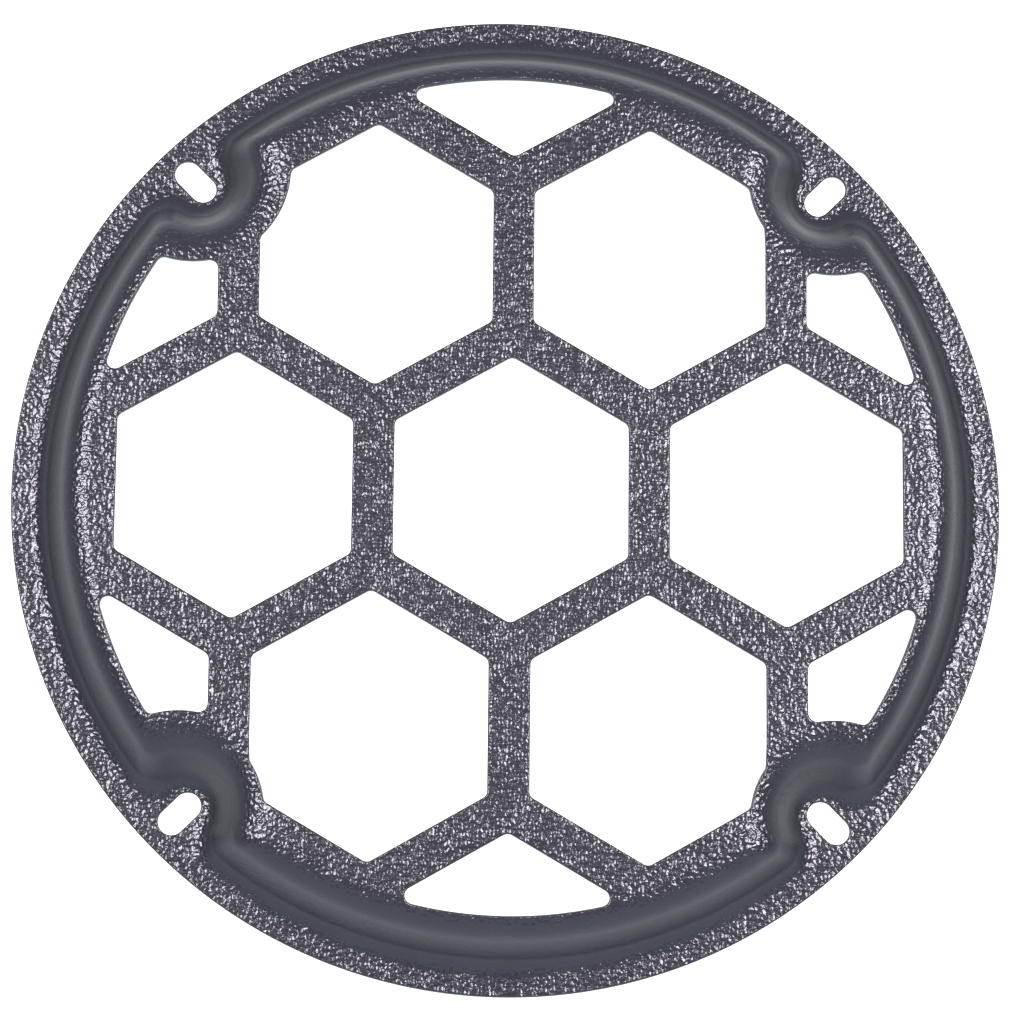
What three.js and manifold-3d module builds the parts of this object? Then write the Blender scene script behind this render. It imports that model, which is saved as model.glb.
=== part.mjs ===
// A round loudspeaker guard grille: one steel sheet, pressed into a shallow dish and punched with
// large hexagonal cells. It has no other pieces and nothing on it moves.
//
// Millimetres, +Z towards the listener. The origin is the centre of the flange's rear face, and
// the rows of cells run along X. Four radial screw slots lie on the diagonals, each in a pocket
// where the wall bends inwards round the screw head.

import * as THREE from "three";
import { mergeVertices } from "three/addons/utils/BufferGeometryUtils.js";
import Module from "manifold-3d";

// Sheet and pressing. Radii of bends are those of the front surface.
const SHEET = 1;
const RIM_RADIUS = 84;
const FOOT_RADIUS = 81.05;
const WALL_RUN = 10.85;
const RISE = 9.4;
const FOOT_BEND = 3.8;
const SHOULDER_BEND = 6;

// Screw slots and the pockets round them
const SLOT_COUNT = 4;
const SLOT_CENTRE_RADIUS = 76.8;
const SLOT_LENGTH = 8.2;
const SLOT_WIDTH = 4.5;
const POCKET_RADIUS_AT_FOOT = 3.2;
const POCKET_RADIUS_AT_FACE = 16.6;
const POCKET_FLARE = 1.27;
const POCKET_CENTRE_AT_FOOT = 75.4;
const POCKET_CENTRE_AT_FACE = 77.1;
const POCKET_CORNER_AT_FOOT = 5;
const POCKET_CORNER_AT_FACE = 2;

// Punched cells: whole hexagons, and part cells where the round field cuts the pattern off
const CELL_PITCH = 46.3;
const CELL_ACROSS_FLATS = 39.3;
const CELL_CORNER = 1.4;
const PART_CELL_CORNER = 1.5;
const FIELD_RADIUS = 71.3;
const ROW_PITCH = CELL_PITCH * Math.sin(Math.PI / 3);

// Distance kept from a slot's centre to a cell's clipped corner. The upper left pocket has the
// wider land at its whole cell too.
const LAND_TO_PART_CELL = 16.2;
const LAND_TO_WHOLE_CELL = 14;
const LAND_TO_UPPER_LEFT_CELL = 16.4;

// How finely round shapes are divided
const CHORD_ERROR = 0.05;
const RIM_STEPS = 16;
const POCKET_STEPS = 12;
const CORNER_STEPS = 3;
const BEND_STEPS = 5;

// The wall is a foot bend, a straight slope and a shoulder bend, each meeting the next smoothly.
const BEND_SUM = FOOT_BEND + SHOULDER_BEND;
const SLOPE_LENGTH = Math.sqrt(WALL_RUN ** 2 + (RISE - BEND_SUM) ** 2 - BEND_SUM ** 2);
const WALL_ANGLE = Math.atan2(RISE - BEND_SUM, WALL_RUN) + Math.atan2(BEND_SUM, SLOPE_LENGTH);
const FACE_FRONT = SHEET + RISE;

const ORIGIN = new THREE.Vector2(0, 0);
const SLOT_ANGLE = Math.PI / SLOT_COUNT;
const FIRST_SLOT = polar(SLOT_CENTRE_RADIUS, SLOT_ANGLE);

const wasm = await Module();
wasm.setup();

function polar(radius, angle) {
  return new THREE.Vector2(radius * Math.cos(angle), radius * Math.sin(angle));
}

function angleOf(vector) {
  return Math.atan2(vector.y, vector.x);
}

// Points along an arc. The end point is left out, so that the next stretch can start there.
function arc(centre, radius, from, to, steps) {
  const points = [];
  for (let i = 0; i < steps; i += 1) {
    points.push(polar(radius, from + ((to - from) * i) / steps).add(centre));
  }
  return points;
}

function mix(atFoot, atFace, share) {
  return THREE.MathUtils.lerp(atFoot, atFace, share);
}

function stepsFor(radius, turn) {
  const largest = 2 * Math.acos(1 - CHORD_ERROR / radius);
  return Math.max(1, Math.ceil(Math.abs(turn) / largest));
}

function fineArc(centre, radius, from, to) {
  return arc(centre, radius, from, to, stepsFor(radius, to - from));
}

// ---- The pressed sheet ----

// The wall's outline in plan, at an inset from its foot: the rim's circle, which turns in round
// each slot. Every inset gives the same number of points, so that outlines can be joined.
function wallOutline(inset) {
  const share = inset / WALL_RUN;
  const corner = mix(POCKET_CORNER_AT_FOOT, POCKET_CORNER_AT_FACE, share);
  const rim = FOOT_RADIUS - inset;

  // The pocket's wall is less steep than the rest, and gets less steep towards the face.
  const pocket = mix(POCKET_RADIUS_AT_FOOT, POCKET_RADIUS_AT_FACE, share ** POCKET_FLARE);
  const middle = new THREE.Vector2(mix(POCKET_CENTRE_AT_FOOT, POCKET_CENTRE_AT_FACE, share), 0);

  // The corner's circle touches the rim's from inside and the pocket's from outside. Here the
  // slot lies on +X.
  const reach = rim - corner;
  const along = (reach ** 2 - (pocket + corner) ** 2 + middle.x ** 2) / (2 * middle.x);
  const beside = Math.sqrt(reach ** 2 - along ** 2);
  const left = new THREE.Vector2(along, beside);
  const right = new THREE.Vector2(along, -beside);
  const rimTurn = angleOf(left);
  const pocketTurn = angleOf(left.clone().sub(middle));
  const nextSlot = (2 * Math.PI) / SLOT_COUNT;

  const stretch = [
    ...arc(right, corner, -rimTurn, Math.PI - pocketTurn, CORNER_STEPS),
    ...arc(middle, pocket, 2 * Math.PI - pocketTurn, pocketTurn, POCKET_STEPS),
    ...arc(left, corner, pocketTurn - Math.PI, rimTurn, CORNER_STEPS),
    ...arc(ORIGIN, rim, rimTurn, nextSlot - rimTurn, RIM_STEPS),
  ];
  const outline = [];
  for (let i = 0; i < SLOT_COUNT; i += 1) {
    const turn = SLOT_ANGLE + i * nextSlot;
    outline.push(...stretch.map((point) => point.clone().rotateAround(ORIGIN, turn)));
  }
  return outline;
}

function rimOutline() {
  return wallOutline(0).map((point) => polar(RIM_RADIUS, angleOf(point)));
}

function atHeight(outline, height) {
  return outline.map((point) => new THREE.Vector3(point.x, point.y, height));
}

// Outlines up the wall, from the flange to the face, on the sheet's front (depth 0) or at a depth
// behind it.
function wallRings(depth) {
  const foot = new THREE.Vector2(0, SHEET + FOOT_BEND);
  const shoulder = new THREE.Vector2(WALL_RUN, FACE_FRONT - SHOULDER_BEND);
  const down = -Math.PI / 2;
  const up = Math.PI / 2;
  const footEnd = down + WALL_ANGLE;
  const profile = [
    ...arc(foot, FOOT_BEND + depth, down, footEnd, BEND_STEPS),
    polar(FOOT_BEND + depth, footEnd).add(foot),
    ...arc(shoulder, SHOULDER_BEND - depth, up + WALL_ANGLE, up, BEND_STEPS),
    polar(SHOULDER_BEND - depth, up).add(shoulder),
  ];
  return profile.map((point) => atHeight(wallOutline(point.x), point.y));
}

// Joins rings that follow each other from the centre of one side, out round the rim and back to
// the centre of the other side.
function loft(firstCentre, rings, lastCentre) {
  const count = rings[0].length;
  const points = [firstCentre, ...rings.flat(), lastCentre];
  const indices = [];
  const vertex = (ring, i) => 1 + ring * count + (i % count);
  const last = rings.length - 1;
  for (let i = 0; i < count; i += 1) {
    indices.push(0, vertex(0, i), vertex(0, i + 1));
    for (let ring = 0; ring < last; ring += 1) {
      indices.push(vertex(ring, i), vertex(ring + 1, i), vertex(ring + 1, i + 1));
      indices.push(vertex(ring, i), vertex(ring + 1, i + 1), vertex(ring, i + 1));
    }
    indices.push(points.length - 1, vertex(last, i + 1), vertex(last, i));
  }
  const geometry = new THREE.BufferGeometry().setFromPoints(points);
  geometry.setIndex(indices);
  return geometry;
}

function pressedSheet() {
  const rings = [
    ...wallRings(0).reverse(),
    atHeight(rimOutline(), SHEET),
    atHeight(rimOutline(), 0),
    ...wallRings(SHEET),
  ];
  const front = new THREE.Vector3(0, 0, FACE_FRONT);
  const back = new THREE.Vector3(0, 0, RISE);
  return loft(front, rings, back);
}

// ---- The punched openings ----

// An edge of an opening knows how deep a point lies inside it and which way is out.
function straightEdge(cell, facing) {
  const out = polar(1, facing);
  return {
    depth: (point) => CELL_ACROSS_FLATS / 2 - out.dot(point.clone().sub(cell)),
    out: () => out,
    trace: () => [],
  };
}

function roundEdge(centre, radius, opensInside) {
  const side = opensInside ? 1 : -1;
  return {
    depth: (point) => side * (radius - point.distanceTo(centre)),
    out: (point) => point.clone().sub(centre).normalize().multiplyScalar(side),
    trace: (start, end) => {
      const from = angleOf(start.clone().sub(centre));
      const turn = angleOf(end.clone().sub(centre).rotateAround(ORIGIN, -from));
      return fineArc(centre, radius, from, from + turn);
    },
  };
}

// The point that lies one corner radius inside both edges, found from a point in the opening.
function cornerCentre(edge, nextEdge, inside, radius) {
  const point = inside.clone();
  const rounds = 12;
  for (let i = 0; i < rounds; i += 1) {
    const a = edge.out(point);
    const b = nextEdge.out(point);
    const toA = edge.depth(point) - radius;
    const toB = nextEdge.depth(point) - radius;
    const cross = a.cross(b);
    point.x += (toA * b.y - toB * a.y) / cross;
    point.y += (toB * a.x - toA * b.x) / cross;
  }
  return point;
}

// An opening's outline, counter-clockwise, with every corner rounded.
function roundedOutline(edges, inside, radius) {
  const corners = edges.map((edge, i) => {
    const nextEdge = edges[(i + 1) % edges.length];
    const centre = cornerCentre(edge, nextEdge, inside, radius);
    const from = angleOf(edge.out(centre));
    const turn = angleOf(nextEdge.out(centre).clone().rotateAround(ORIGIN, -from));
    return { centre, from, to: from + turn, nextEdge };
  });
  const outline = [];
  corners.forEach((corner, i) => {
    const next = corners[(i + 1) % corners.length];
    const end = polar(radius, corner.to).add(corner.centre);
    const nextStart = polar(radius, next.from).add(next.centre);
    const along = corner.nextEdge.trace(end, nextStart);
    outline.push(...fineArc(corner.centre, radius, corner.from, corner.to));
    outline.push(...(along.length > 0 ? along : [end]));
  });
  return outline;
}

function hexagonSides(cell, sides) {
  return sides.map((side) => straightEdge(cell, (side * Math.PI) / 3));
}

// A copy of an outline of the upper right quarter, in the quarter with the given signs.
function inQuarter(outline, signX, signY) {
  const copy = outline.map((point) => new THREE.Vector2(signX * point.x, signY * point.y));
  return signX * signY > 0 ? copy : copy.reverse();
}

function wholeCell(x) {
  const cell = new THREE.Vector2(x, 0);
  return roundedOutline(hexagonSides(cell, [0, 1, 2, 3, 4, 5]), cell, CELL_CORNER);
}

function clippedCell(signX, signY) {
  const upperLeft = signX < 0 && signY > 0;
  const land = upperLeft ? LAND_TO_UPPER_LEFT_CELL : LAND_TO_WHOLE_CELL;
  const cell = new THREE.Vector2(CELL_PITCH / 2, ROW_PITCH);
  const [firstSide, ...otherSides] = hexagonSides(cell, [0, 1, 2, 3, 4, 5]);
  const edges = [firstSide, roundEdge(FIRST_SLOT, land, false), ...otherSides];
  return inQuarter(roundedOutline(edges, cell, CELL_CORNER), signX, signY);
}

// Part cells keep the sides that face the grille's centre. The point inside each of them lies
// a little nearer to that centre than its hexagon's middle does.
function sidePartCell(signX, signY) {
  const cell = new THREE.Vector2(1.5 * CELL_PITCH, ROW_PITCH);
  const edges = [
    ...hexagonSides(cell, [3, 4]),
    roundEdge(ORIGIN, FIELD_RADIUS, true),
    roundEdge(FIRST_SLOT, LAND_TO_PART_CELL, false),
  ];
  const inside = cell.clone().multiplyScalar(0.8);
  return inQuarter(roundedOutline(edges, inside, PART_CELL_CORNER), signX, signY);
}

function endPartCell(signY) {
  const cell = new THREE.Vector2(0, 2 * ROW_PITCH);
  const edges = [...hexagonSides(cell, [4, 5]), roundEdge(ORIGIN, FIELD_RADIUS, true)];
  const inside = cell.clone().multiplyScalar(0.8);
  return inQuarter(roundedOutline(edges, inside, PART_CELL_CORNER), 1, signY);
}

function screwSlot(index) {
  const angle = SLOT_ANGLE + (index * 2 * Math.PI) / SLOT_COUNT;
  const radius = SLOT_WIDTH / 2;
  const halfSpan = SLOT_LENGTH / 2 - radius;
  const quarter = Math.PI / 2;
  const outer = polar(SLOT_CENTRE_RADIUS + halfSpan, angle);
  const inner = polar(SLOT_CENTRE_RADIUS - halfSpan, angle);
  const outerEnd = polar(radius, angle + quarter).add(outer);
  const innerEnd = polar(radius, angle - quarter).add(inner);
  return [
    ...fineArc(outer, radius, angle - quarter, angle + quarter),
    outerEnd,
    ...fineArc(inner, radius, angle + quarter, angle + 3 * quarter),
    innerEnd,
  ];
}

function openings() {
  const outlines = [-CELL_PITCH, 0, CELL_PITCH].map(wholeCell);
  for (const signY of [-1, 1]) {
    outlines.push(endPartCell(signY));
    for (const signX of [-1, 1]) {
      outlines.push(clippedCell(signX, signY));
      outlines.push(sidePartCell(signX, signY));
    }
  }
  for (let i = 0; i < SLOT_COUNT; i += 1) {
    outlines.push(screwSlot(i));
  }
  return outlines;
}

function punch(outline) {
  const overshoot = 2;
  const depth = FACE_FRONT + 2 * overshoot;
  const geometry = new THREE.ExtrudeGeometry(new THREE.Shape(outline), { depth, bevelEnabled: false });
  return geometry.translate(0, 0, -overshoot);
}

// ---- Solids ----

function toSolid(geometry) {
  const bare = geometry.clone();
  bare.deleteAttribute("normal");
  bare.deleteAttribute("uv");
  const merged = mergeVertices(bare);
  const mesh = new wasm.Mesh({
    numProp: 3,
    vertProperties: merged.getAttribute("position").array,
    triVerts: Uint32Array.from(merged.getIndex().array),
  });
  return new wasm.Manifold(mesh);
}

function toGeometry(solid) {
  const mesh = solid.getMesh();
  const geometry = new THREE.BufferGeometry();
  geometry.setAttribute("position", new THREE.BufferAttribute(mesh.vertProperties, 3));
  geometry.setIndex(new THREE.BufferAttribute(mesh.triVerts, 1));
  geometry.computeVertexNormals();
  return geometry;
}

function grillePressing() {
  let sheet = toSolid(pressedSheet());
  for (const outline of openings()) {
    sheet = sheet.subtract(toSolid(punch(outline)));
  }
  const coat = new THREE.MeshStandardMaterial({ color: 0x2c2b31, roughness: 0.35, metalness: 0.1 });
  const mesh = new THREE.Mesh(toGeometry(sheet), coat);
  mesh.name = "grille_pressing";
  return mesh;
}

const grille = new THREE.Group();
grille.add(grillePressing());

export default grille;
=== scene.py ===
"""Looks of a round loudspeaker guard grille: one pressed and punched steel sheet with a coarse
black powder coat, lying on its flange in soft studio light.

Lengths in the constants are millimetres and are turned into metres where an object is made.
"""

import math

import bpy
import numpy as np
from mathutils import Matrix, Vector
from mathutils.geometry import delaunay_2d_cdt


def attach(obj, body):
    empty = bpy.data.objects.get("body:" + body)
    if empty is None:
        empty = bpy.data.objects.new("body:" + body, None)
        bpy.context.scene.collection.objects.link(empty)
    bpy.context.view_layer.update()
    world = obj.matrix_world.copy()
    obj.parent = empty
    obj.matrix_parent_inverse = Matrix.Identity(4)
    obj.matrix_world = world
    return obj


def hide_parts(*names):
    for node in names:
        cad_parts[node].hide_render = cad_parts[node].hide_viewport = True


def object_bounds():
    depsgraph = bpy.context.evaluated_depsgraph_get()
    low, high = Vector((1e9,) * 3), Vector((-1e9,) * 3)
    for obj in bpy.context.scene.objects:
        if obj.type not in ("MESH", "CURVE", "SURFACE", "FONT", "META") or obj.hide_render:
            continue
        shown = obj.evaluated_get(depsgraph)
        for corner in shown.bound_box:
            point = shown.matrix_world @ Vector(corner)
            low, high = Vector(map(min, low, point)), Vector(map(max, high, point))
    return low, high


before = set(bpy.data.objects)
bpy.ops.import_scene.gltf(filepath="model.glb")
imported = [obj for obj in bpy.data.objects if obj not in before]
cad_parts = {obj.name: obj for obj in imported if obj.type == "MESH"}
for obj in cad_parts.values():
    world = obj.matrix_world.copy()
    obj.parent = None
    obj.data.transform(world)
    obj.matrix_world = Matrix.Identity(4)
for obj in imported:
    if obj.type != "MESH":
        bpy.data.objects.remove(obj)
cad_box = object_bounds()

MM = 0.001

# Sheet and pressing. Radii of bends are those of the front surface.
SHEET = 1.0
RIM_RADIUS = cad_box[1].x / MM
FACE_FRONT = cad_box[1].z / MM
FOOT_RADIUS = 81.05
WALL_RUN = 10.85
FOOT_BEND = 3.8
SHOULDER_BEND = 6.0
RISE = FACE_FRONT - SHEET

# Screw slots and the pockets round them
SLOT_COUNT = 4
SLOT_CENTRE_RADIUS = 76.8
SLOT_LENGTH = 8.2
SLOT_WIDTH = 4.5
POCKET_RADIUS_AT_FOOT = 3.2
POCKET_RADIUS_AT_FACE = 16.6
POCKET_FLARE = 1.27
POCKET_CENTRE_AT_FOOT = 75.4
POCKET_CENTRE_AT_FACE = 77.1
POCKET_CORNER_AT_FOOT = 5.0
POCKET_CORNER_AT_FACE = 2.0

# Punched cells
CELL_PITCH = 46.3
CELL_ACROSS_FLATS = 39.3
CELL_CORNER = 1.4
PART_CELL_CORNER = 1.5
FIELD_RADIUS = 71.3
ROW_PITCH = CELL_PITCH * math.sin(math.pi / 3)
LAND_TO_PART_CELL = 16.2
LAND_TO_WHOLE_CELL = 14.0
LAND_TO_UPPER_LEFT_CELL = 16.4

# Cut edges: the punch rounds the front edge more than the back one. A flat strip is kept
# beside each rounding.
FRONT_EDGE_RADIUS = 0.3
BACK_EDGE_RADIUS = 0.2
FLAT_STRIP = 0.08

# Coat. Its bumps fade and its gloss drops as the surface tilts from FLAT_LEVEL to WALL_LEVEL,
# which are cosines of the tilt from level.
BUMPS_PER_METRE = 1500
BUMP_HEIGHT = 0.24
BUMP_STRENGTH_ON_WALL = 0.15
PATCHES_PER_METRE = 90
WALL_LEVEL = 0.79
FLAT_LEVEL = 0.93
WALL_ROUGHNESS = 0.42
FLAT_ROUGHNESS = 0.26
DARK_TONE = (0.009, 0.0085, 0.0125, 1)
PALE_TONE = (0.014, 0.0132, 0.0185, 1)

# Camera: place and aim in metres, sensor and lens in millimetres
CAMERA_PLACE = (-0.03013, -0.11465, 0.62041)
CAMERA_AIM = (0.00065, -0.00207, 0.0)
CAMERA_ROLL = math.radians(0.573)
SENSOR_WIDTH = 36
LENS = 130.66

# Stage, in metres, degrees and watts
FLOOR_HALF = 3.0
SOFTBOX_DISTANCE = 1.2
SOFTBOX_SIZE = 0.4
SOFTBOX_LEAN_Y = 10
LEFT_LEAN_X, LEFT_POWER = -27.5, 21
RIGHT_LEAN_X, RIGHT_POWER = 31, 22

# How finely round shapes are divided
EDGE_STEPS = 5
SLOT_END_STEPS = 30
RIM_STEPS = 100
POCKET_STEPS = 36
CORNER_STEPS = 10
BEND_STEPS = 14
SLOPE_STEPS = 2
PATCH_INSET = 8.2
PATCH_LINES = 8
ARC_STEP = math.radians(6)
LARGE_ARC_LENGTH = 0.9

# Search and matching
HALVINGS = 24
CORNER_TRIES = 12
SAME_POINT_DIGITS = 4
SAME_POINT_DISTANCE = 1e-5
RING_CLEARANCE = 0.1

# A point at this share of the way out to a part cell's centre lies in what is left of the cell.
INSIDE_SHARE = 0.8

BEND_SUM = FOOT_BEND + SHOULDER_BEND
SLOPE_LENGTH = math.sqrt(WALL_RUN**2 + (RISE - BEND_SUM) ** 2 - BEND_SUM**2)
WALL_ANGLE = math.atan2(RISE - BEND_SUM, WALL_RUN) + math.atan2(BEND_SUM, SLOPE_LENGTH)
SLOT_ANGLE = math.pi / SLOT_COUNT
SLOT_TURN = 2 * math.pi / SLOT_COUNT


# ---- Camera ----


def add_camera():
    place = Vector(CAMERA_PLACE)
    look = (Vector(CAMERA_AIM) - place).normalized()
    right = look.cross(Vector((0, 1, 0))).normalized()
    level = Matrix((right, right.cross(look), -look)).transposed()
    turn = level @ Matrix.Rotation(CAMERA_ROLL, 3, "Z")
    camera = bpy.data.objects.new("camera", bpy.data.cameras.new("camera"))
    camera.matrix_world = Matrix.Translation(place) @ turn.to_4x4()
    camera.data.sensor_width = SENSOR_WIDTH
    camera.data.lens = LENS
    camera.data.clip_start = 0.01
    bpy.context.scene.collection.objects.link(camera)
    bpy.context.scene.camera = camera


add_camera()


# ---- Plan outlines ----


def polar(radius, angle):
    return np.array([radius * math.cos(angle), radius * math.sin(angle)])


def angle_of(vector):
    return math.atan2(vector[1], vector[0])


def turned(points, angle):
    c, s = math.cos(angle), math.sin(angle)
    return points @ np.array([[c, s], [-s, c]])


def arc(centre, radius, start, end, steps):
    """Points along an arc, without its end point."""
    angles = np.linspace(start, end, steps, endpoint=False)
    return np.asarray(centre) + radius * np.column_stack([np.cos(angles), np.sin(angles)])


def fine_arc(centre, radius, start, end):
    turn = abs(end - start)
    steps = max(turn / ARC_STEP, turn * radius / LARGE_ARC_LENGTH, 1)
    return arc(centre, radius, start, end, math.ceil(steps))


def mix(at_foot, at_face, share):
    return at_foot + (at_face - at_foot) * share


def wall_circles(inset):
    """The circles that bound the wall in plan at an inset from its foot: radii of the rim, the
    pocket and the corner between them, and the centres of pocket and corner, seen along a slot's
    axis. Takes one inset or an array."""
    share = inset / WALL_RUN
    rim = FOOT_RADIUS - inset
    pocket = mix(POCKET_RADIUS_AT_FOOT, POCKET_RADIUS_AT_FACE, share**POCKET_FLARE)
    corner = mix(POCKET_CORNER_AT_FOOT, POCKET_CORNER_AT_FACE, share)
    to_pocket = mix(POCKET_CENTRE_AT_FOOT, POCKET_CENTRE_AT_FACE, share)
    along = ((rim - corner) ** 2 - (pocket + corner) ** 2 + to_pocket**2) / (2 * to_pocket)
    beside = np.sqrt((rim - corner) ** 2 - along**2)
    return rim, pocket, corner, to_pocket, along, beside


def wall_outline(inset):
    """The wall's outline in plan at an inset from its foot: the rim's circle, which turns in
    round each slot. Every inset gives the same number of points."""
    rim, pocket, corner, to_pocket, along, beside = wall_circles(inset)
    rim_turn = math.atan2(beside, along)
    pocket_turn = math.atan2(beside, along - to_pocket)
    stretch = np.vstack(
        [
            arc((along, -beside), corner, -rim_turn, math.pi - pocket_turn, CORNER_STEPS),
            arc((to_pocket, 0), pocket, 2 * math.pi - pocket_turn, pocket_turn, POCKET_STEPS),
            arc((along, beside), corner, pocket_turn - math.pi, rim_turn, CORNER_STEPS),
            arc((0, 0), rim, rim_turn, SLOT_TURN - rim_turn, RIM_STEPS),
        ]
    )
    return np.vstack([turned(stretch, SLOT_ANGLE + i * SLOT_TURN) for i in range(SLOT_COUNT)])


def cross(a, b):
    return a[..., 0] * b[..., 1] - a[..., 1] * b[..., 0]


def within_wall(points, inset):
    """Which points lie inside the wall's outline, each at its own inset."""
    rim, pocket, corner, to_pocket, along, beside = wall_circles(inset)
    radius = np.hypot(points[:, 0], points[:, 1])
    turn = np.arctan2(points[:, 1], points[:, 0]) - SLOT_ANGLE
    turn = np.abs((turn + SLOT_TURN / 2) % SLOT_TURN - SLOT_TURN / 2)
    spots = np.column_stack([radius * np.cos(turn), radius * np.sin(turn)])
    centres = np.column_stack([along, beside])
    pockets = np.column_stack([to_pocket, np.zeros(len(points))])
    away = spots - centres
    at_corner = (cross(pockets - centres, away) > 0) & (cross(away, centres) > 0)
    in_corner = np.hypot(away[:, 0], away[:, 1]) < corner
    clear = (radius < rim) & (np.hypot(*(spots - pockets).T) > pocket)
    return np.where(at_corner, in_corner, clear)


def inset_of(points):
    """How far in from the wall's foot points lie: 0 on the flange and WALL_RUN on the face."""
    low = np.zeros(len(points))
    high = np.full(len(points), WALL_RUN)
    for _ in range(HALVINGS):
        middle = (low + high) / 2
        within = within_wall(points, middle)
        low = np.where(within, middle, low)
        high = np.where(within, high, middle)
    low[high == WALL_RUN] = WALL_RUN
    low[low == 0] = 0
    return low


class StraightEdge:
    """One side of a cell. It knows how deep a point lies inside it and which way is out."""

    def __init__(self, cell, facing, grow):
        self.cell = np.asarray(cell)
        self.facing = polar(1, facing)
        self.reach = CELL_ACROSS_FLATS / 2 + grow

    def depth(self, point):
        return self.reach - self.facing @ (point - self.cell)

    def out(self, point):
        return self.facing

    def trace(self, start, end):
        return np.empty((0, 2))


class RoundEdge:
    """A circle that an opening lies inside, or that it keeps clear of."""

    def __init__(self, centre, radius, opens_inside, grow):
        self.centre = np.asarray(centre)
        self.side = 1 if opens_inside else -1
        self.radius = radius + self.side * grow

    def depth(self, point):
        return self.side * (self.radius - np.linalg.norm(point - self.centre))

    def out(self, point):
        away = point - self.centre
        return self.side * away / np.linalg.norm(away)

    def trace(self, start, end):
        begin = angle_of(start - self.centre)
        turn = (angle_of(end - self.centre) - begin + math.pi) % (2 * math.pi) - math.pi
        return fine_arc(self.centre, self.radius, begin, begin + turn)


def corner_centre(edge, next_edge, inside, radius):
    """The point one corner radius inside both edges, found from a point in the opening."""
    point = np.array(inside, float)
    for _ in range(CORNER_TRIES):
        facings = np.array([edge.out(point), next_edge.out(point)])
        too_deep = np.array([edge.depth(point), next_edge.depth(point)]) - radius
        point += np.linalg.solve(facings, too_deep)
    return point


def rounded_outline(edges, inside, radius):
    """An opening's outline, counter-clockwise, with every corner rounded."""
    corners = []
    for edge, next_edge in zip(edges, edges[1:] + edges[:1]):
        centre = corner_centre(edge, next_edge, inside, radius)
        begin = angle_of(edge.out(centre))
        turn = (angle_of(next_edge.out(centre)) - begin) % (2 * math.pi)
        corners.append((centre, begin, begin + turn))
    outline = []
    for i, (centre, begin, end) in enumerate(corners):
        next_centre, next_begin, _ = corners[(i + 1) % len(corners)]
        leave = centre + polar(radius, end)
        arrive = next_centre + polar(radius, next_begin)
        along = edges[(i + 1) % len(edges)].trace(leave, arrive)
        outline.append(fine_arc(centre, radius, begin, end))
        outline.append(along if len(along) else leave[None])
    return np.vstack(outline)


def hexagon_sides(cell, sides, grow):
    return [StraightEdge(cell, side * math.pi / 3, grow) for side in sides]


def in_quarter(outline, sign_x, sign_y):
    copy = outline * (sign_x, sign_y)
    return copy if sign_x * sign_y > 0 else copy[::-1]


def whole_cell(x, grow):
    sides = hexagon_sides((x, 0), range(6), grow)
    return rounded_outline(sides, (x, 0), CELL_CORNER + grow)


def clipped_cell(sign_x, sign_y, grow):
    upper_left = sign_x < 0 < sign_y
    land = LAND_TO_UPPER_LEFT_CELL if upper_left else LAND_TO_WHOLE_CELL
    cell = (CELL_PITCH / 2, ROW_PITCH)
    sides = hexagon_sides(cell, range(6), grow)
    slot = RoundEdge(polar(SLOT_CENTRE_RADIUS, SLOT_ANGLE), land, False, grow)
    edges = sides[:1] + [slot] + sides[1:]
    return in_quarter(rounded_outline(edges, cell, CELL_CORNER + grow), sign_x, sign_y)


def side_part_cell(sign_x, sign_y, grow):
    cell = np.array([1.5 * CELL_PITCH, ROW_PITCH])
    edges = hexagon_sides(cell, (3, 4), grow)
    edges.append(RoundEdge((0, 0), FIELD_RADIUS, True, grow))
    slot = polar(SLOT_CENTRE_RADIUS, SLOT_ANGLE)
    edges.append(RoundEdge(slot, LAND_TO_PART_CELL, False, grow))
    outline = rounded_outline(edges, INSIDE_SHARE * cell, PART_CELL_CORNER + grow)
    return in_quarter(outline, sign_x, sign_y)


def end_part_cell(sign_y, grow):
    cell = np.array([0, 2 * ROW_PITCH])
    edges = hexagon_sides(cell, (4, 5), grow)
    edges.append(RoundEdge((0, 0), FIELD_RADIUS, True, grow))
    outline = rounded_outline(edges, INSIDE_SHARE * cell, PART_CELL_CORNER + grow)
    return in_quarter(outline, 1, sign_y)


def cell_outlines(grow):
    outlines = [whole_cell(x, grow) for x in (-CELL_PITCH, 0, CELL_PITCH)]
    for sign_y in (-1, 1):
        outlines.append(end_part_cell(sign_y, grow))
        for sign_x in (-1, 1):
            outlines.append(clipped_cell(sign_x, sign_y, grow))
            outlines.append(side_part_cell(sign_x, sign_y, grow))
    return outlines


def slot_outlines(grow):
    radius = SLOT_WIDTH / 2
    half_span = SLOT_LENGTH / 2 - radius
    quarter = math.pi / 2
    count = SLOT_END_STEPS + 1
    sweep = math.pi * count / SLOT_END_STEPS
    outlines = []
    for i in range(SLOT_COUNT):
        angle = SLOT_ANGLE + i * SLOT_TURN
        ends = [
            arc(
                polar(SLOT_CENTRE_RADIUS + side * half_span, angle),
                radius + grow, begin, begin + sweep, count,
            )
            for side, begin in ((1, angle - quarter), (-1, angle + quarter))
        ]
        outlines.append(np.vstack(ends))
    return outlines


# ---- The sheet's front, built over its plan ----


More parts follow.
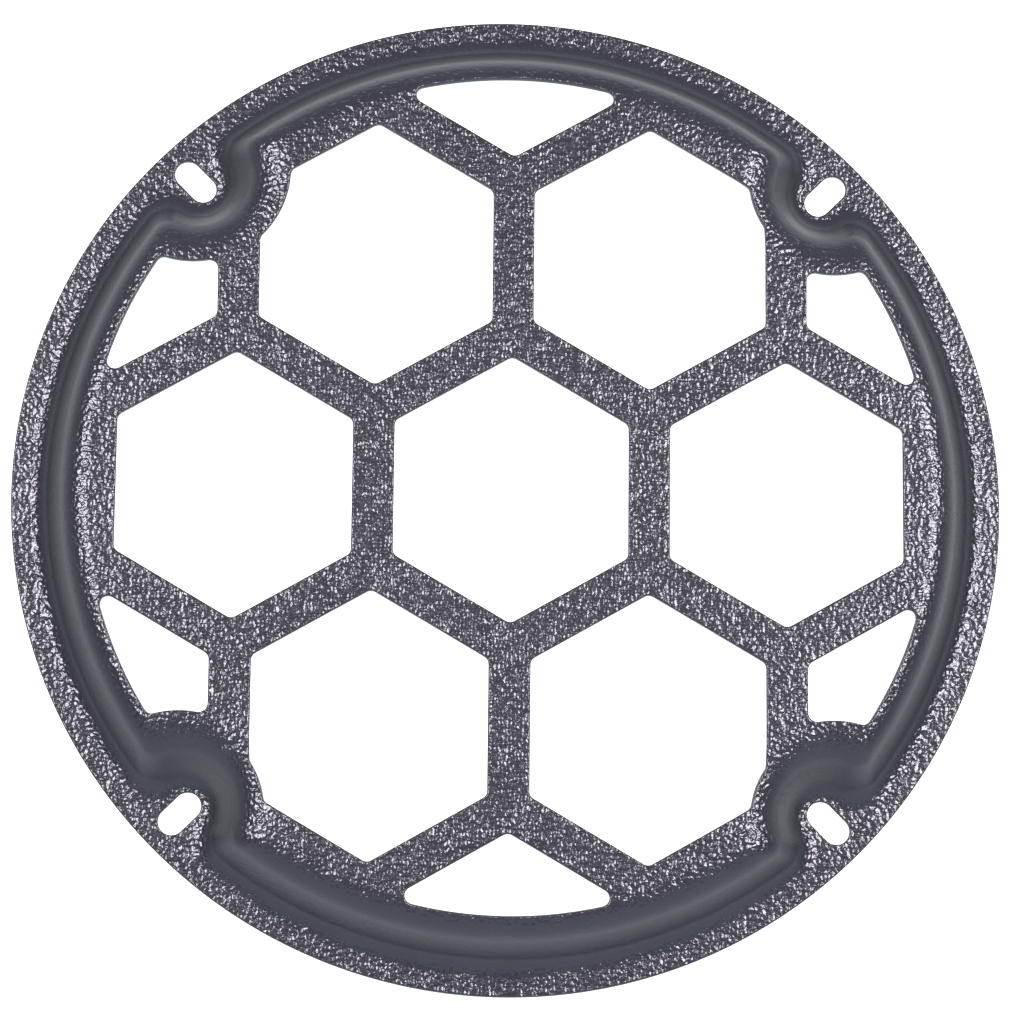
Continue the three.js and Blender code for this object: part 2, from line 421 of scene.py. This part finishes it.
def wall_profile():
    """(inset, height) up the front of the wall: foot bend, slope, shoulder bend."""
    foot_angles = np.linspace(0, WALL_ANGLE, BEND_STEPS + 1)
    foot = np.column_stack(
        [FOOT_BEND * np.sin(foot_angles), FOOT_BEND * (1 - np.cos(foot_angles))]
    )
    drops = foot_angles[::-1]
    shoulder = np.column_stack(
        [WALL_RUN - SHOULDER_BEND * np.sin(drops), RISE - SHOULDER_BEND * (1 - np.cos(drops))]
    )
    shares = np.linspace(0, 1, SLOPE_STEPS + 1)[1:-1, None]
    slope = foot[-1] * (1 - shares) + shoulder[0] * shares
    return np.vstack([foot, slope, shoulder]) + (0, SHEET)


def shoulder_height(inset):
    """Height of the front on the shoulder bend and on the face."""
    short = WALL_RUN - inset
    return FACE_FRONT - SHOULDER_BEND + np.sqrt(SHOULDER_BEND**2 - short**2)


def front_heights(points):
    """Heights of the front on the flange, on the upper shoulder or on the face."""
    insets = inset_of(points)
    short = np.minimum(WALL_RUN - insets, WALL_RUN - PATCH_INSET)
    return np.where(insets > 0, shoulder_height(WALL_RUN - short), SHEET)


class Front:
    """The front's points, shared wherever two stretches meet, and its faces."""

    def __init__(self):
        self.points = []
        self.faces = []
        self.seen = {}

    def add_point(self, plan, height):
        key = (round(plan[0], SAME_POINT_DIGITS), round(plan[1], SAME_POINT_DIGITS))
        if key not in self.seen:
            self.seen[key] = len(self.points)
            self.points.append((plan[0], plan[1], height))
        return self.seen[key]

    def add_ring(self, plan_points, height):
        return [self.add_point(plan, height) for plan in plan_points]

    def add_wall(self, profile):
        rings = [self.add_ring(wall_outline(inset), height) for inset, height in profile]
        count = len(rings[0])
        for outer, inner in zip(rings, rings[1:]):
            for i in range(count):
                j = (i + 1) % count
                self.faces.append((inner[i], outer[i], outer[j], inner[j]))

    def add_patch(self, rings, keeps):
        """Fills the plan between rings with triangles, and keeps those whose middle keeps() says
        belong to the sheet."""
        plan = np.vstack(rings)
        lines = []
        first = 0
        for ring in rings:
            count = len(ring)
            lines += [(first + i, first + (i + 1) % count) for i in range(count)]
            first += count
        made = delaunay_2d_cdt([Vector(p) for p in plan], lines, [], 0, SAME_POINT_DISTANCE)
        spots, triangles, sources = made[0], made[2], made[3]
        places = np.array([plan[s[0]] if s else spot for s, spot in zip(sources, spots)])
        middles = places[np.array(triangles)].mean(axis=1)
        kept = np.array(triangles)[keeps(middles)]
        wanted = np.unique(kept)
        heights = front_heights(places[wanted])
        used = {i: self.add_point(places[i], height) for i, height in zip(wanted, heights)}
        for a, b, c in kept:
            flat = np.cross(places[b] - places[a], places[c] - places[a])
            corners = (a, b, c) if flat > 0 else (a, c, b)
            self.faces.append(tuple(used[i] for i in corners))


def inside(points, outline):
    """Which points lie inside an outline, by counting crossings."""
    x, y = points[:, :1], points[:, 1:]
    ax, ay = outline.T
    bx, by = np.roll(outline, -1, axis=0).T
    spans = (ay > y) != (by > y)
    with np.errstate(divide="ignore", invalid="ignore"):
        crossing = ax + (y - ay) * (bx - ax) / (by - ay)
    return (spans & (x < crossing)).sum(axis=1) % 2 == 1


def outside_all(points, outlines):
    return ~np.any([inside(points, outline) for outline in outlines], axis=0)


def build_front():
    front = Front()
    profile = wall_profile()
    grow = FRONT_EDGE_RADIUS + FLAT_STRIP

    # The face's patch takes in the upper shoulder, because the cells reach on to it.
    lower = profile[profile[:, 0] < PATCH_INSET - RING_CLEARANCE]
    front.add_wall(np.vstack([lower, (PATCH_INSET, shoulder_height(PATCH_INSET))]))

    cells = cell_outlines(grow)
    face_edge = wall_outline(PATCH_INSET)
    lines = [wall_outline(inset) for inset in np.linspace(PATCH_INSET, WALL_RUN, PATCH_LINES)[1:]]
    front.add_patch(
        [face_edge, *lines, *cells],
        lambda middles: inside(middles, face_edge) & outside_all(middles, cells),
    )

    slots = slot_outlines(grow)
    foot = wall_outline(0)
    rim = arc((0, 0), RIM_RADIUS - grow, 0, 2 * math.pi, 4 * RIM_STEPS)
    front.add_patch(
        [rim, foot, *slots],
        lambda middles: inside(middles, rim) & outside_all(middles, [foot, *slots]),
    )
    return np.array(front.points), front.faces


def vertex_normals(points, faces):
    normals = np.zeros_like(points)
    for face in faces:
        corners = points[list(face)]
        area = np.cross(corners[1] - corners[0], corners[-1] - corners[0])
        if len(face) == 4:
            area = area + np.cross(corners[3] - corners[2], corners[1] - corners[2])
        for i in face:
            normals[i] += area
    return normals / np.linalg.norm(normals, axis=1)[:, None]


def boundary_loops(faces):
    """Open edges of the front, as loops that keep the sheet on their left."""
    directed = {(a, b) for face in faces for a, b in zip(face, face[1:] + face[:1])}
    following = {a: b for a, b in directed if (b, a) not in directed}
    loops = []
    while following:
        start = next(iter(following))
        loop = [start]
        following_one = following.pop(start)
        while following_one != start:
            loop.append(following_one)
            following_one = following.pop(following_one)
        loops.append(loop)
    return loops


def edge_profile():
    """(outward, depth, facing) across a cut edge, from its front strip to its back. Facing is
    the angle that the surface has turned from the front."""
    reach = FLAT_STRIP + FRONT_EDGE_RADIUS
    profile = [(FLAT_STRIP, 0.0, 0.0)]
    for angle in np.linspace(0, math.pi / 2, EDGE_STEPS + 1)[1:]:
        out = FLAT_STRIP + FRONT_EDGE_RADIUS * math.sin(angle)
        profile.append((out, FRONT_EDGE_RADIUS * (1 - math.cos(angle)), angle))
    for angle in np.linspace(math.pi / 2, math.pi, EDGE_STEPS + 1):
        out = reach - BACK_EDGE_RADIUS * (1 - math.sin(angle))
        profile.append((out, SHEET - BACK_EDGE_RADIUS * (1 + math.cos(angle)), angle))
    return profile


def close_edge(loop, points, normals, verts, facings, faces, back_start):
    """Joins the front to the back round one opening or round the rim."""
    spots = points[loop]
    along = np.roll(spots, -1, axis=0) - spots
    right = np.column_stack([along[:, 1], -along[:, 0], np.zeros(len(loop))])
    right /= np.linalg.norm(right, axis=1)[:, None]
    outward = right + np.roll(right, 1, axis=0)
    outward -= normals[loop] * (outward * normals[loop]).sum(axis=1)[:, None]
    outward /= np.linalg.norm(outward, axis=1)[:, None]
    rows = [list(loop)]
    for out, depth, facing in edge_profile():
        rows.append(list(range(len(verts), len(verts) + len(loop))))
        verts.extend(spots + outward * out - normals[loop] * depth)
        facings.extend(normals[loop] * math.cos(facing) + outward * math.sin(facing))
    rows.append([back_start + i for i in loop])
    count = len(loop)
    for upper, lower in zip(rows, rows[1:]):
        for i in range(count):
            j = (i + 1) % count
            faces.append((upper[j], upper[i], lower[i], lower[j]))


def build_grille():
    points, front_faces = build_front()
    normals = vertex_normals(points, front_faces)
    back_start = len(points)
    verts = [*points, *(points - SHEET * normals)]
    facings = [*normals, *(-normals)]
    faces = list(front_faces)
    faces += [tuple(back_start + i for i in reversed(face)) for face in front_faces]
    for loop in boundary_loops(front_faces):
        close_edge(loop, points, normals, verts, facings, faces, back_start)
    mesh = bpy.data.meshes.new("pressed_grille")
    mesh.from_pydata([Vector(v) * MM for v in verts], [], faces)
    mesh.validate()
    mesh.shade_smooth()
    mesh.normals_split_custom_set_from_vertices([Vector(f) for f in facings])
    grille = bpy.data.objects.new("pressed_grille", mesh)
    bpy.context.scene.collection.objects.link(grille)
    return grille


# ---- Materials ----


def link(tree, source, target):
    tree.links.new(source, target)


def add_node(tree, kind, **inputs):
    node = tree.nodes.new(kind)
    for name, value in inputs.items():
        node.inputs[name.replace("_", " ")].default_value = value
    return node


def ramp(tree, source, start, end, low, high):
    """A value that goes smoothly from low to high as the source goes from start to end."""
    inputs = {"From_Min": start, "From_Max": end, "To_Min": low, "To_Max": high}
    node = add_node(tree, "ShaderNodeMapRange", **inputs)
    node.interpolation_type = "SMOOTHSTEP"
    link(tree, source, node.inputs["Value"])
    return node.outputs["Result"]


def levelness(tree):
    """How level the surface is in the part's own frame: 1 on the flats and 0 on a cut edge."""
    facing = tree.nodes.new("ShaderNodeNewGeometry")
    local = tree.nodes.new("ShaderNodeVectorTransform")
    local.vector_type = "NORMAL"
    local.convert_from = "WORLD"
    local.convert_to = "OBJECT"
    link(tree, facing.outputs["Normal"], local.inputs["Vector"])
    split = tree.nodes.new("ShaderNodeSeparateXYZ")
    link(tree, local.outputs["Vector"], split.inputs["Vector"])
    level = tree.nodes.new("ShaderNodeMath")
    level.operation = "ABSOLUTE"
    link(tree, split.outputs["Z"], level.inputs[0])
    return level.outputs["Value"]


def coat_relief(tree, place, level):
    """The coat's orange peel: small smooth bumps, which flow out flat on the steep wall."""
    bumps = add_node(tree, "ShaderNodeTexNoise", Scale=BUMPS_PER_METRE, Detail=0.5, Roughness=0.5)
    link(tree, place, bumps.inputs["Vector"])
    relief = add_node(tree, "ShaderNodeBump", Distance=BUMP_HEIGHT * MM)
    strength = ramp(tree, level, WALL_LEVEL, FLAT_LEVEL, BUMP_STRENGTH_ON_WALL, 1.0)
    link(tree, strength, relief.inputs["Strength"])
    link(tree, bumps.outputs["Fac"], relief.inputs["Height"])
    return relief.outputs["Normal"]


def coat_tone(tree, place):
    """A black that is slightly violet, and a little lighter in some patches than in others."""
    patches = add_node(tree, "ShaderNodeTexNoise", Scale=PATCHES_PER_METRE, Detail=2.0)
    link(tree, place, patches.inputs["Vector"])
    tone = tree.nodes.new("ShaderNodeMix")
    tone.data_type = "RGBA"
    tone.inputs["A"].default_value = DARK_TONE
    tone.inputs["B"].default_value = PALE_TONE
    link(tree, patches.outputs["Fac"], tone.inputs["Factor"])
    return tone.outputs["Result"]


def powder_coat():
    """Semi-gloss black powder coat, which is more matt on the wall than on the flats."""
    material = bpy.data.materials.new("black_powder_coat")
    material.use_nodes = True
    tree = material.node_tree
    shader = tree.nodes["Principled BSDF"]
    shader.inputs["IOR"].default_value = 1.5
    shader.inputs["Specular Tint"].default_value = (0.94, 0.9, 1.0, 1)

    place = tree.nodes.new("ShaderNodeTexCoord").outputs["Object"]
    level = levelness(tree)
    roughness = ramp(tree, level, WALL_LEVEL, FLAT_LEVEL, WALL_ROUGHNESS, FLAT_ROUGHNESS)
    link(tree, coat_relief(tree, place, level), shader.inputs["Normal"])
    link(tree, coat_tone(tree, place), shader.inputs["Base Color"])
    link(tree, roughness, shader.inputs["Roughness"])
    return material


def floor_material():
    """A light table, which is white in the picture by its own glow."""
    material = bpy.data.materials.new("pale_floor")
    material.use_nodes = True
    shader = material.node_tree.nodes["Principled BSDF"]
    shader.inputs["Base Color"].default_value = (0.4, 0.42, 0.43, 1)
    shader.inputs["Roughness"].default_value = 0.9
    shader.inputs["Specular IOR Level"].default_value = 0.1
    shader.inputs["Emission Color"].default_value = (0.97, 1.0, 1.02, 1)
    shader.inputs["Emission Strength"].default_value = 1.0
    return material


# ---- Stage ----


def add_floor():
    half = FLOOR_HALF
    mesh = bpy.data.meshes.new("floor")
    corners = [(-half, -half, 0), (half, -half, 0), (half, half, 0), (-half, half, 0)]
    mesh.from_pydata(corners, [], [(0, 1, 2, 3)])
    floor = bpy.data.objects.new("floor", mesh)
    bpy.context.scene.collection.objects.link(floor)
    mesh.materials.append(floor_material())


def add_softbox(name, lean_x, power):
    """A square light, leaning from the vertical by angles in degrees towards +X and +Y."""
    slope_x, slope_y = math.tan(math.radians(lean_x)), math.tan(math.radians(SOFTBOX_LEAN_Y))
    place = Vector((slope_x, slope_y, 1)).normalized() * SOFTBOX_DISTANCE
    data = bpy.data.lights.new(name, "AREA")
    data.shape = "SQUARE"
    data.size = SOFTBOX_SIZE
    data.energy = power
    light = bpy.data.objects.new(name, data)
    light.location = place
    light.rotation_euler = place.to_track_quat("Z", "Y").to_euler()
    bpy.context.scene.collection.objects.link(light)


def add_surroundings():
    """A room that is dim overhead, bright towards -Y and half bright towards +Y."""
    world = bpy.data.worlds.new("studio")
    world.use_nodes = True
    bpy.context.scene.world = world
    tree = world.node_tree
    background = tree.nodes["Background"]
    background.inputs["Color"].default_value = (0.82, 1.0, 1.08, 1)
    place = tree.nodes.new("ShaderNodeTexCoord")
    split = tree.nodes.new("ShaderNodeSeparateXYZ")
    link(tree, place.outputs["Generated"], split.inputs["Vector"])
    along = split.outputs["Y"]
    room = tree.nodes.new("ShaderNodeMath")
    room.operation = "ADD"
    link(tree, ramp(tree, along, start=-0.3, end=-0.55, low=0.12, high=1.3), room.inputs[0])
    link(tree, ramp(tree, along, start=0.45, end=0.8, low=0.0, high=0.5), room.inputs[1])
    link(tree, room.outputs["Value"], background.inputs["Strength"])


def finish_grille():
    grille = build_grille()
    grille.data.materials.append(powder_coat())
    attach(grille, "root")
    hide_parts("grille_pressing")


finish_grille()
add_floor()
add_softbox("softbox_left", LEFT_LEAN_X, LEFT_POWER)
add_softbox("softbox_right", RIGHT_LEAN_X, RIGHT_POWER)
add_surroundings()
bpy.context.scene.view_settings.view_transform = "Standard"
